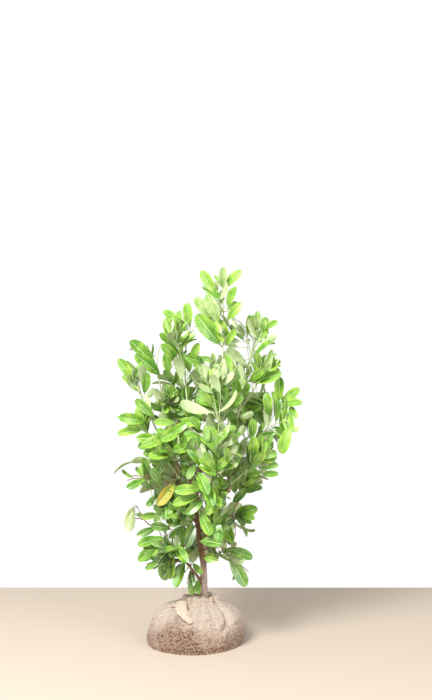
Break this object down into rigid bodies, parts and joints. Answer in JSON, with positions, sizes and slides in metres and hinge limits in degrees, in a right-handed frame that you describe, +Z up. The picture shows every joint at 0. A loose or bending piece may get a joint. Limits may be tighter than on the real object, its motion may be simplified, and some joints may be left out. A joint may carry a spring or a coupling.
{
  "type": "cherry laurel sapling with root ball",
  "caption": "Young evergreen laurel shrub, lifted with its root ball tied in sacking, with a leaning trunk, slender boughs and loose masses of glossy oblong leaves.",
  "frame": {"origin": "middle of the flat underside of the root ball", "axes": "+Z straight up, +X to the right and -Y to the front of the plant as it stands"},
  "size_m": [0.6853, 0.538, 1.368],
  "materials": {
    "soil_ball": "ball of moist soil and roots, wrapped in coarse unbleached jute sacking that the soil has stained brown on its lower half, matt",
    "sacking": "coarse woven jute, unbleached, creased and matt",
    "bark": "smooth young grey-brown bark with corky pores, matt",
    "shoot": "this year's green to pale shoots, satin",
    "leaves": "leathery evergreen leaves, glossy above and pale and matt below"
  },
  "bodies": {
    "root": {"bough_back_left": "bark", "bough_back_low": "bark", "bough_back_right": "bark", "bough_back_upper_left": "bark", "bough_back_upper_right": "bark", "bough_centre_low": "shoot", "bough_centre_waist": "bark", "bough_front": "shoot", "bough_left_arm": "shoot", "bough_left_crown": "bark", "bough_left_mid": "bark", "bough_left_outer": "shoot", "bough_left_riser": "shoot", "bough_left_shoulder": "bark", "bough_left_tall": "bark", "bough_left_waist": "bark", "bough_low_left": "bark", "bough_low_right": "bark", "bough_right_crown": "shoot", "bough_right_low": "bark", "bough_right_mid": "shoot", "bough_right_shoulder": "shoot", "bough_right_tip": "shoot", "foliage_back_left": "leaves", "foliage_back_low": "leaves", "foliage_back_right": "leaves", "foliage_back_upper_left": "leaves", "foliage_back_upper_right": "leaves", "foliage_centre": "leaves", "foliage_centre_low": "leaves", "foliage_centre_waist": "leaves", "foliage_foot": "leaves", "foliage_front": "leaves", "foliage_leader": "leaves", "foliage_left_arm": "leaves", "foliage_left_crown": "leaves", "foliage_left_far": "leaves", "foliage_left_inner": "leaves", "foliage_left_mid": "leaves", "foliage_left_outer": "leaves", "foliage_left_shoulder": "leaves", "foliage_left_tall": "leaves", "foliage_left_waist": "leaves", "foliage_low_left": "leaves", "foliage_low_right": "leaves", "foliage_right_crown": "leaves", "foliage_right_inner": "leaves", "foliage_right_low": "leaves", "foliage_right_mid": "leaves", "foliage_right_shoulder": "leaves", "foliage_right_skirt": "leaves", "foliage_right_tip": "leaves", "root_ball": "soil_ball", "sacking_collar": "sacking", "sacking_tail_front": "sacking", "sacking_tail_left": "sacking", "second_stem": "bark", "trunk": "bark"}
  },
  "joints": []
}
